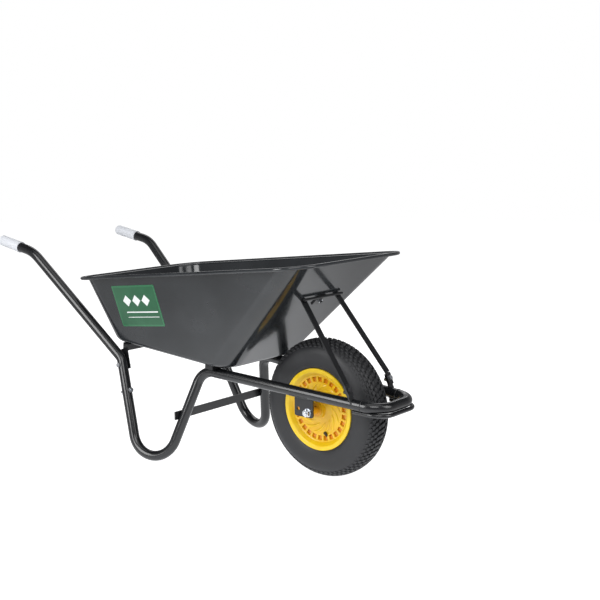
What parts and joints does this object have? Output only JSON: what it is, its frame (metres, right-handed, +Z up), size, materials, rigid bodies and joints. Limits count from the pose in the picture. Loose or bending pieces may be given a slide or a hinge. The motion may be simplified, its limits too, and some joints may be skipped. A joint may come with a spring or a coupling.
{
  "type": "wheelbarrow",
  "caption": "Wheelbarrow with a deep pressed pan on a bent tube chassis, a pneumatic wheel on a plain axle, looped feet and plugged-in tube handles.",
  "frame": {"origin": "centre of the bounding box, on the ground", "axes": "+X forward to the wheel, +Y to the barrow's left, +Z up"},
  "size_m": [1.43, 0.53, 0.6364],
  "materials": {
    "tray_paint": "gloss paint",
    "label_film": "printed film",
    "frame_paint": "gloss black paint",
    "bracket_paint": "satin black paint",
    "rim_plastic": "moulded yellow",
    "tyre_rubber": "moulded black rubber",
    "tube_rubber": "matte",
    "cap_plastic": "matte",
    "bush_plastic": "satin",
    "grip_plastic": "satin white",
    "dark_bolt": "blackened",
    "zinc": "bright zinc"
  },
  "bodies": {
    "frame": {"tray": "tray_paint", "label": "label_film", "side_tube_left": "frame_paint", "side_tube_right": "frame_paint", "nose_tube": "frame_paint", "tipping_bar": "frame_paint", "leg_brace": "bracket_paint", "front_support": "bracket_paint", "rear_crossbar": "bracket_paint", "axle_plate_left": "bracket_paint", "axle_plate_right": "bracket_paint", "axle": "zinc", "axle_nut_left": "zinc", "axle_nut_right": "zinc", "axle_washer_left": "zinc", "axle_washer_right": "zinc", "axle_spacer_left": "bracket_paint", "axle_spacer_right": "bracket_paint", "handle_left": "frame_paint", "handle_right": "frame_paint", "grip_left": "grip_plastic", "grip_right": "grip_plastic", "handle_bolt_left": "zinc", "handle_bolt_right": "zinc", "handle_nut_left": "zinc", "handle_nut_right": "zinc", "crossbar_bolt_left": "zinc", "crossbar_bolt_right": "zinc", "crossbar_nut_left": "zinc", "crossbar_nut_right": "zinc", "stay_left": "bracket_paint", "stay_right": "bracket_paint", "stay_tie": "bracket_paint", "stay_tab_left": "bracket_paint", "stay_tab_right": "bracket_paint", "stay_bolt_left": "zinc", "stay_bolt_right": "zinc", "stay_nut_left": "zinc", "stay_nut_right": "zinc", "wall_bolt": "dark_bolt", "wall_nut": "zinc", "rear_tray_bolt_left": "dark_bolt", "rear_tray_bolt_right": "dark_bolt", "rear_tray_nut_left": "zinc", "rear_tray_nut_right": "zinc", "front_tray_bolt_left": "dark_bolt", "front_tray_bolt_right": "dark_bolt", "front_tray_nut_left": "zinc", "front_tray_nut_right": "zinc"},
    "wheel": {"rim_half_left": "rim_plastic", "rim_half_right": "rim_plastic", "tyre": "tyre_rubber", "inner_tube": "tube_rubber", "hub_bush_left": "bush_plastic", "hub_bush_right": "bush_plastic", "valve_stem": "tube_rubber", "valve_cap": "cap_plastic"}
  },
  "joints": [
    {"name": "wheel_spin", "type": "hinge", "parent": "frame", "child": "wheel", "pos_m": [0.45599, 0, 0.198], "axis": [0, 1, 0], "continuous": true}
  ]
}
